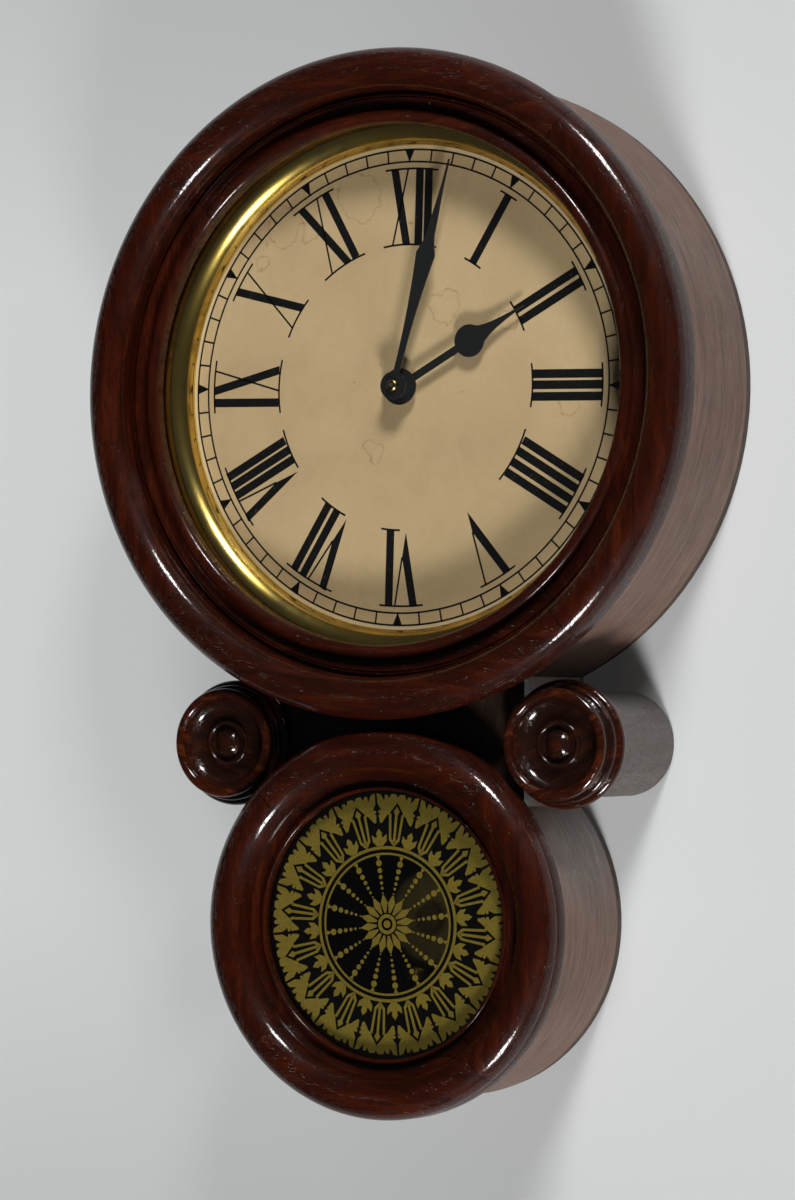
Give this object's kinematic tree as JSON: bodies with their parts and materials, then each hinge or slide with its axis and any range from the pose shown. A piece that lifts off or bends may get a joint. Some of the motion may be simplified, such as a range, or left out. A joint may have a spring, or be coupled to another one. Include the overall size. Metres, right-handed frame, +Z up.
{
  "type": "round figure-eight wall clock",
  "caption": "Pendulum wall clock with a large round dial door over a small round painted-glass door, turned wooden rings, round case sides and two turned columns at the waist.",
  "frame": {"origin": "on the wall plane, at the foot of the axis that the hands turn about", "axes": "+Z is up, -Y points out of the wall through the dial, +X is to the right as the dial is seen; the back lies on Y = 0"},
  "size_m": [0.349, 0.1075, 0.5555],
  "materials": {
    "case_wood": "satin, worn",
    "ring_wood": "glossy varnish",
    "dark_veneer": "satin, vertical grain",
    "back_wood": "unfinished",
    "dial_paper": "aged paper, black print",
    "clear_glass": "polished",
    "tablet_glass": "black and gold paint behind the glass, clear middle",
    "putty": "matt",
    "brass": "lacquered",
    "aged_brass": "aged",
    "black_plastic": "fine texture",
    "rubber": "matt",
    "circuit": "matt",
    "copper_wire": "enamelled wire",
    "steel": "brushed",
    "magnet": "plated",
    "hand_black": "satin black",
    "wheel_plastic": "smooth",
    "battery_jacket": "gloss"
  },
  "bodies": {
    "case": {"backboard": "back_wood", "upper_drum": "case_wood", "lower_drum": "case_wood", "waist_panel": "dark_veneer", "waist_cheeks": "case_wood", "columns": "case_wood", "rosettes": "ring_wood", "dial_blocks": "back_wood", "dial_board": "back_wood", "dial_paper": "dial_paper", "dial_screws": "brass", "sight_ring": "aged_brass", "hanger_plate": "brass", "hinge_case_leaves": "brass", "case_screws": "brass", "catch_springs": "brass", "movement_base": "black_plastic", "movement_cover": "black_plastic", "movement_bush": "brass", "movement_nut": "brass", "movement_washer": "rubber", "train_plate": "steel", "circuit_board": "circuit", "motor_coil": "copper_wire", "stator": "steel", "drive_coil": "copper_wire", "battery_contacts": "steel", "pendulum_pin": "steel"},
    "upper_door": {"upper_bezel": "ring_wood", "upper_glass": "clear_glass", "upper_putty": "putty", "upper_door_leaf": "brass", "upper_door_screws": "brass", "upper_catch_stud": "brass"},
    "lower_door": {"lower_bezel": "ring_wood", "tablet_glass": "tablet_glass", "lower_putty": "putty", "lower_door_leaf": "brass", "lower_door_screws": "brass", "lower_catch_stud": "brass"},
    "minute_arbor": {"minute_shaft": "steel", "minute_hand": "hand_black", "hand_nut": "brass"},
    "hour_arbor": {"hour_wheel": "wheel_plastic", "hour_hand": "hand_black", "hour_collet": "brass"},
    "minute_wheel_body": {"minute_wheel": "wheel_plastic"},
    "knob": {"setting_knob": "black_plastic"},
    "centre_wheel_body": {"centre_wheel": "wheel_plastic"},
    "third_wheel_body": {"third_wheel": "wheel_plastic"},
    "seconds_wheel_body": {"seconds_wheel": "wheel_plastic"},
    "step_wheel_body": {"step_wheel": "wheel_plastic"},
    "rotor": {"rotor_pinion": "wheel_plastic", "rotor_magnet": "magnet"},
    "pendulum": {"pendulum_hanger": "wheel_plastic", "hanger_magnet": "magnet", "pendulum_rod": "brass"},
    "bob": {"pendulum_bob": "brass"},
    "bob_nut": {"rating_nut": "brass"},
    "battery_cell": {"battery": "battery_jacket"}
  },
  "joints": [
    {"name": "upper_door_hinge", "type": "hinge", "parent": "case", "child": "upper_door", "pos_m": [-0.1704, -0.08315, 0], "axis": [0, 0, -1], "range_deg": [0, 100]},
    {"name": "lower_door_hinge", "type": "hinge", "parent": "case", "child": "lower_door", "pos_m": [-0.0969, -0.08315, -0.28], "axis": [0, 0, -1], "range_deg": [0, 100]},
    {"name": "minute_turn", "type": "hinge", "parent": "case", "child": "minute_arbor", "pos_m": [0, -0.05, 0], "axis": [0, 1, 0], "continuous": true},
    {"name": "hour_turn", "type": "hinge", "parent": "case", "child": "hour_arbor", "pos_m": [0, -0.05, 0], "axis": [0, 1, 0], "continuous": true},
    {"name": "minute_wheel_turn", "type": "hinge", "parent": "case", "child": "minute_wheel_body", "pos_m": [-0.01039, -0.05, 0.006], "axis": [0, 1, 0], "continuous": true},
    {"name": "setting_knob_turn", "type": "hinge", "parent": "case", "child": "knob", "pos_m": [-0.02239, -0.05, 0.006], "axis": [0, 1, 0], "continuous": true},
    {"name": "seconds_wheel_turn", "type": "hinge", "parent": "case", "child": "seconds_wheel_body", "pos_m": [0.00888, -0.05, -0.0177], "axis": [0, 1, 0], "continuous": true},
    {"name": "centre_wheel_turn", "type": "hinge", "parent": "case", "child": "centre_wheel_body", "pos_m": [0, -0.05, 0], "axis": [0, 1, 0], "continuous": true},
    {"name": "third_wheel_turn", "type": "hinge", "parent": "case", "child": "third_wheel_body", "pos_m": [0.01353, -0.05, -0.00492], "axis": [0, 1, 0], "continuous": true},
    {"name": "step_wheel_turn", "type": "hinge", "parent": "case", "child": "step_wheel_body", "pos_m": [-0.00162, -0.05, -0.0177], "axis": [0, 1, 0], "continuous": true},
    {"name": "rotor_turn", "type": "hinge", "parent": "case", "child": "rotor", "pos_m": [-0.01048, -0.05, -0.01614], "axis": [0, 1, 0], "continuous": true},
    {"name": "pendulum_swing", "type": "hinge", "parent": "case", "child": "pendulum", "pos_m": [0, -0.05, -0.038], "axis": [0, 1, 0], "range_deg": [-4.5, 4.5]},
    {"name": "bob_slide", "type": "slide", "parent": "pendulum", "child": "bob", "axis": [0, 0, 1], "range_m": [-0.0028, 0.0028]},
    {"name": "rating_nut_turn", "type": "hinge", "parent": "bob", "child": "bob_nut", "pos_m": [0, -0.052, -0.308], "axis": [0, 0, 1], "range_deg": [-1441, 1441]},
    {"name": "battery_slide", "type": "slide", "parent": "case", "child": "battery_cell", "axis": [0, 1, 0], "range_m": [0, 0.03]}
  ],
  "couplings": [
    {"joint": "hour_turn", "follows": "minute_turn", "ratio": 0.083333},
    {"joint": "minute_wheel_turn", "follows": "minute_turn", "ratio": -0.33333},
    {"joint": "setting_knob_turn", "follows": "minute_turn", "ratio": 1},
    {"joint": "third_wheel_turn", "follows": "seconds_wheel_turn", "ratio": -0.13333},
    {"joint": "centre_wheel_turn", "follows": "seconds_wheel_turn", "ratio": 0.016667},
    {"joint": "step_wheel_turn", "follows": "seconds_wheel_turn", "ratio": -6},
    {"joint": "rotor_turn", "follows": "seconds_wheel_turn", "ratio": 30},
    {"joint": "rating_nut_turn", "follows": "bob_slide", "rad_per_m": 8976}
  ]
}
